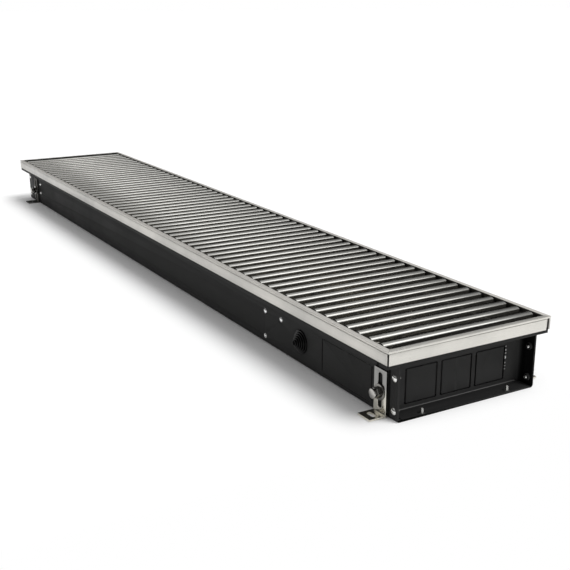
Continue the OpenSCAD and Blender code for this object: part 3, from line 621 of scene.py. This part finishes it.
LEVEL_SCREW = [(0, 0.4), (1.8, 0.4), (2.2, 0.8)] + thread(2.5, 0.36, 1.0, 9.6, 0.8)
LEVEL_SCREW += [(2.4, 9.8), (2.25, 10.1), (1.9, 10.4), (0, 10.4)]
# The driver's slot in a levelling screw, in metres.
SLOT_SIZE, SLOT_Z = (0.009, 0.0012, 0.0032), 0.0108


def in_both_walls(spots, y=WALL_Y, turn=1):
    """The (origin, axis) of a piece at each (x, z) in both long walls; turn is 1 outward, -1 inward."""
    return [((x, side * y, z), (0, side * turn, 0)) for x, z in spots for side in SIDES]


def slotted(me, name, x, y):
    """The mesh of an upright screw with a driver's slot cut into its upper end."""
    ob = into_scene(bpy.data.objects.new(name + "_tmp", me))
    bm = bmesh.new()
    bar = Matrix.Translation((x, y, SLOT_Z)) @ Matrix.Diagonal((*SLOT_SIZE, 1))
    bmesh.ops.create_cube(bm, size=1.0, matrix=bar)
    cut_mesh = bpy.data.meshes.new("slot_cut")
    bm.to_mesh(cut_mesh)
    bm.free()
    cut = into_scene(bpy.data.objects.new("slot_cut", cut_mesh))
    mod = ob.modifiers.new("slot", "BOOLEAN")
    mod.object = cut
    mod.solver = "EXACT"
    done = applied(ob)
    bpy.data.objects.remove(cut)
    smooth(done)
    return done


def turned_pieces():
    """Fasteners and the grommet, finer than their CAD solids."""
    stud = [((EARTH_STUD[0], -WALL_Y, EARTH_STUD[1]), (0, -1, 0))]
    nuts = in_both_walls(END_SCREWS, NUT_SEAT_Y, -1)
    for node, profile, places, segs, mat, slot in (
        ("wall_rivets", RIVET, in_both_walls(RIVETS), 28, "rivet_bright", "rivet_bright"),
        ("earth_stud", STUD, stud, 28, "rivet_bright", "brass_plain"),
        ("end_plate_screws", END_SCREW, in_both_walls(END_SCREWS), 28, "screw_zinc", "screw_zinc"),
        ("end_plate_nuts", END_NUT, nuts, 28, "tray_black", "tray_black"),
        ("clamp_bolts", CLAMP_BOLT, in_both_walls(CLAMP_BOLTS), 40, "bolt_dark", "bolt_dark"),
    ):
        stand_in(turned_mesh(node + "_look", profile, places, segs), node, mat)
    for name, (x, y) in LEVELLING.items():
        node = "levelling_screw_" + name
        me = turned_mesh(node + "_look", LEVEL_SCREW, [((x, y, 0), (0, 0, 1))], 32)
        stand_in(slotted(me, node, x, y), node, "screw_zinc")
    me = turned_mesh("cable_grommet_look", grommet_profile(), [(GROMMET, (0, -1, 0))], 56, 60.0)
    stand_in(me, "cable_grommet", "grommet_rubber")


def dressed_pieces():
    """CAD pieces with rounded edges."""
    dress("trench_tray", "tray_black", 0.35, folds=long_bottom)
    for end in ("near", "far"):
        dress("end_plate_" + end, "tray_black", 0.35)
    for side, mat in (("front", "rail_x"), ("back", "rail_x"), ("near", "rail_y"), ("far", "rail_y")):
        dress("frame_rail_" + side, mat, 0.35, 3)
    dress("grille_bars", "bar", angle=50.0)
    dress("clamp_nuts", "nut_zinc_shaded", 0.5)
    dress("clamp_inner_nuts", "screw_zinc", 0.5)
    dress("clamp_washers", "nut_zinc_shaded")
    dress("levelling_bushes", "tray_black")
    # The far brackets wear the bracket zinc with painted shade.
    for side in ("front", "back"):
        for end, mat in (("near", "bracket_zinc"), ("far", "bracket_zinc_shaded")):
            dress("foot_bracket_" + side + "_" + end, mat, 0.5, 3)


def painted_pieces():
    """CAD pieces that keep their mesh."""
    for mat, nodes in {
        "key_steel": ("frame_corner_keys",),
        "rubber_black": ("frame_seals", "grille_support_strips"),
        "brass_plain": ("earth_nuts", "union_nuts", "flow_valve_body", "return_valve_body",
                        "air_vent_body", "return_spindle", "air_vent_screw"),
        "cradle_zinc": ("cradle_near", "cradle_far"),
        "fin_aluminium": ("fin_pack",),
        "copper": ("copper_circuit",),
        "rod_steel": ("grille_rods",),
        "spacer_plastic": ("grille_spacers",),
        "cap_plastic": ("flow_hand_cap",),
    }.items():
        for node in nodes:
            me = frame["nodes"][node].data
            me.materials.clear()
            me.materials.append(MATS[mat])


turned_pieces()
dressed_pieces()
painted_pieces()

# Floor, world, light and camera. Lengths are in metres, the lens and the sensor in millimetres.
FLOOR_HALF, FLOOR_DROP = 30.0, 0.0002
FLOOR_GREY = 0.80
# Along x the floor's painted glow fades in, hiding the shadow in front of the near end.
FLOOR_GLOW_X = (0.785, 0.845)
# The dome's light rises between two heights z of a direction.
DOME_LIGHT, DOME_Z = (0.02, 0.75), (0.10, 0.95)
# The softbox is bounded by the lean x / z of a direction and by its y; each edge is soft.
BOX_LEAN_IN, BOX_LEAN_OUT = (-0.34, -0.12), (0.04, 0.18)
BOX_Y_IN, BOX_Y_OUT = (0.10, 0.24), (0.74, 0.84)
BOX_LIGHT, BOX_LOWEST_Z = 2.2, 0.05
KEY_TOWARD, KEY_LIGHT, KEY_SPREAD = (0.40, 0.28, 0.87), 1.7, 28.0
CAMERA_AT, CAMERA_CLIP = (1.6688, -0.7821, 0.5110), (0.05, 60.0)
CAMERA_LENS, CAMERA_SENSOR = 59.88, 36.0
CAMERA_DOWN, CAMERA_TURN = 16.96, 59.68


def grey(nt, kind, level=1.0):
    """A shader of one grey level, white if none is given."""
    s = nt.nodes.new(kind)
    s.inputs["Color"].default_value = (level, level, level, 1)
    return s


def mix_shaders(nt, fac, first, second):
    """The first shader where fac is nought, the second where it is one."""
    m = nt.nodes.new("ShaderNodeMixShader")
    nt.links.new(fac, m.inputs["Fac"])
    nt.links.new(first, m.inputs[1])
    nt.links.new(second, m.inputs[2])
    return m.outputs[0]


def stage_floor():
    """Pale floor that keeps the shadow, but in front of the near end it glows plain white for the camera:
    painted light that hides the shadow there.
    """
    me = bpy.data.meshes.new("floor")
    s = FLOOR_HALF
    me.from_pydata([(-s, -s, 0), (s, -s, 0), (s, s, 0), (-s, s, 0)], [], [(0, 1, 2, 3)])
    ob = into_scene(bpy.data.objects.new("floor", me))
    ob.location = (0, 0, -FLOOR_DROP)
    m = bpy.data.materials.new("floor")
    m.use_nodes = True
    nt = m.node_tree
    nt.nodes.clear()
    out = nt.nodes.new("ShaderNodeOutputMaterial")
    rays = nt.nodes.new("ShaderNodeLightPath").outputs
    lit = grey(nt, "ShaderNodeBsdfDiffuse", FLOOR_GREY)
    seen = grey(nt, "ShaderNodeBsdfDiffuse")
    white = grey(nt, "ShaderNodeEmission")
    direct = either(nt, rays["Is Camera Ray"], rays["Is Glossy Ray"])
    pale = mix_shaders(nt, direct, lit.outputs[0], seen.outputs[0])
    # Painted light: in front of the near end the floor glows white for the camera, hiding the shadow.
    clear = both(nt, rays["Is Camera Ray"], rise(nt, place(nt)[0], *FLOOR_GLOW_X))
    nt.links.new(mix_shaders(nt, clear, pale, white.outputs[0]), out.inputs["Surface"])
    me.materials.append(m)


def world():
    """Soft dome, darker to the horizon, with a long softbox across the bars; the camera sees white."""
    w = bpy.data.worlds.new("studio")
    bpy.context.scene.world = w
    w.use_nodes = True
    nt = w.node_tree
    nt.nodes.clear()
    out = nt.nodes.new("ShaderNodeOutputWorld")
    x, y, z = components(nt, nt.nodes.new("ShaderNodeTexCoord").outputs["Generated"])
    dome = span(nt, z, *DOME_LIGHT, *DOME_Z)
    lean = calc(nt, "DIVIDE", x, calc(nt, "MAXIMUM", z, BOX_LOWEST_Z))
    box = both(nt, rise(nt, lean, *BOX_LEAN_IN), fall(nt, lean, *BOX_LEAN_OUT),
               rise(nt, y, *BOX_Y_IN), fall(nt, y, *BOX_Y_OUT))
    light = grey(nt, "ShaderNodeBackground")
    nt.links.new(calc(nt, "ADD", dome, calc(nt, "MULTIPLY", box, BOX_LIGHT)), light.inputs["Strength"])
    seen = grey(nt, "ShaderNodeBackground")
    rays = nt.nodes.new("ShaderNodeLightPath").outputs
    shown = mix_shaders(nt, rays["Is Camera Ray"], light.outputs[0], seen.outputs[0])
    nt.links.new(shown, out.inputs["Surface"])


def key_light():
    """A wide sun that gives soft shadows and no highlights."""
    lamp = bpy.data.lights.new("key", "SUN")
    lamp.energy = KEY_LIGHT
    lamp.angle = math.radians(KEY_SPREAD)
    ob = into_scene(bpy.data.objects.new("key", lamp))
    ob.rotation_euler = Vector(KEY_TOWARD).to_track_quat("Z", "Y").to_euler()
    ob.visible_glossy = False


def camera():
    """The photo's view: looking down by CAMERA_DOWN and turned by CAMERA_TURN, in degrees."""
    cam = bpy.data.cameras.new("camera")
    cam.sensor_width = CAMERA_SENSOR
    cam.lens = CAMERA_LENS
    cam.clip_start, cam.clip_end = CAMERA_CLIP
    ob = into_scene(bpy.data.objects.new("camera", cam))
    ob.location = CAMERA_AT
    ob.rotation_euler = (math.radians(90.0 - CAMERA_DOWN), 0.0, math.radians(CAMERA_TURN))
    bpy.context.scene.camera = ob


stage_floor()
world()
key_light()
camera()
bpy.context.scene.view_settings.view_transform = "Standard"
